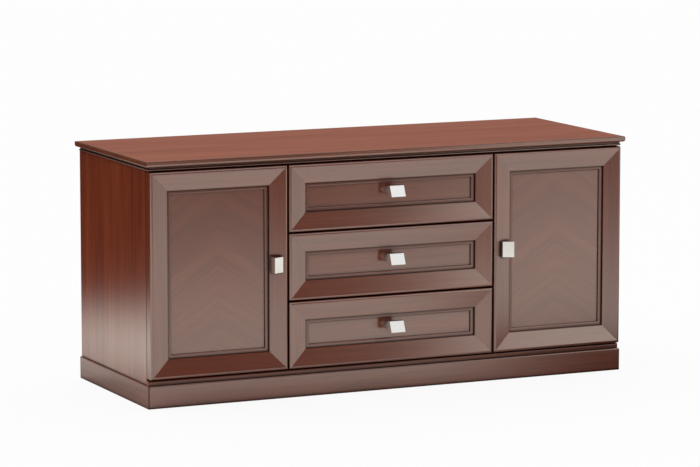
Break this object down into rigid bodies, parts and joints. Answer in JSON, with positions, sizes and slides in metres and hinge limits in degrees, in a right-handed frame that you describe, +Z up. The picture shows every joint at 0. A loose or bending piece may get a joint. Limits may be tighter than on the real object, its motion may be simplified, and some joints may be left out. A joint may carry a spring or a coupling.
{
  "type": "office credenza",
  "caption": "Low office credenza with a moulded overhanging top, framed drawers stacked between framed hinged doors, chrome wedge knobs and a mitred plinth.",
  "frame": {"origin": "on the floor, under the middle of the box round the object, knobs included", "axes": "+Z up, +X to the right along the front, -Y out of the front towards the user"},
  "size_m": [1.6, 0.6396, 0.738],
  "materials": {
    "veneer": "red-brown veneer under a glossy clear lacquer",
    "carcass": "satin brown case boards",
    "drawer_wood": "satin light hardwood",
    "chrome": "polished",
    "steel": "bright zinc"
  },
  "bodies": {
    "case": {"top_panel": "veneer", "base_panel": "veneer", "back_panel": "carcass", "plinth_front": "veneer", "plinth_right": "veneer", "plinth_back": "veneer", "plinth_left": "veneer", "left_side_panel": "veneer", "left_partition": "carcass", "left_shelf": "carcass", "left_upper_hinge_arm": "steel", "left_lower_hinge_arm": "steel", "right_side_panel": "veneer", "right_partition": "carcass", "right_shelf": "carcass", "right_upper_hinge_arm": "steel", "right_lower_hinge_arm": "steel", "drawer_1_left_cabinet_runner": "steel", "drawer_1_right_cabinet_runner": "steel", "drawer_2_left_cabinet_runner": "steel", "drawer_2_right_cabinet_runner": "steel", "drawer_3_left_cabinet_runner": "steel", "drawer_3_right_cabinet_runner": "steel"},
    "left_door": {"left_door_frame": "veneer", "left_door_panel": "veneer", "left_door_knob": "chrome", "left_door_upper_hinge_cup": "steel", "left_door_lower_hinge_cup": "steel"},
    "right_door": {"right_door_frame": "veneer", "right_door_panel": "veneer", "right_door_knob": "chrome", "right_door_upper_hinge_cup": "steel", "right_door_lower_hinge_cup": "steel"},
    "drawer_1": {"drawer_1_frame": "veneer", "drawer_1_panel": "veneer", "drawer_1_knob": "chrome", "drawer_1_bottom": "drawer_wood", "drawer_1_back": "drawer_wood", "drawer_1_left_side": "drawer_wood", "drawer_1_right_side": "drawer_wood", "drawer_1_left_runner": "steel", "drawer_1_right_runner": "steel"},
    "drawer_2": {"drawer_2_frame": "veneer", "drawer_2_panel": "veneer", "drawer_2_knob": "chrome", "drawer_2_bottom": "drawer_wood", "drawer_2_back": "drawer_wood", "drawer_2_left_side": "drawer_wood", "drawer_2_right_side": "drawer_wood", "drawer_2_left_runner": "steel", "drawer_2_right_runner": "steel"},
    "drawer_3": {"drawer_3_frame": "veneer", "drawer_3_panel": "veneer", "drawer_3_knob": "chrome", "drawer_3_bottom": "drawer_wood", "drawer_3_back": "drawer_wood", "drawer_3_left_side": "drawer_wood", "drawer_3_right_side": "drawer_wood", "drawer_3_left_runner": "steel", "drawer_3_right_runner": "steel"}
  },
  "joints": [
    {"name": "left_door_hinge", "type": "hinge", "parent": "case", "child": "left_door", "pos_m": [-0.7815, -0.25625, 0.397], "axis": [0, 0, -1], "range_deg": [0, 105]},
    {"name": "right_door_hinge", "type": "hinge", "parent": "case", "child": "right_door", "pos_m": [0.7815, -0.25625, 0.397], "axis": [0, 0, 1], "range_deg": [0, 105]},
    {"name": "drawer_1_slide", "type": "slide", "parent": "case", "child": "drawer_1", "axis": [0, -1, 0], "range_m": [0, 0.34]},
    {"name": "drawer_2_slide", "type": "slide", "parent": "case", "child": "drawer_2", "axis": [0, -1, 0], "range_m": [0, 0.34]},
    {"name": "drawer_3_slide", "type": "slide", "parent": "case", "child": "drawer_3", "axis": [0, -1, 0], "range_m": [0, 0.34]}
  ]
}
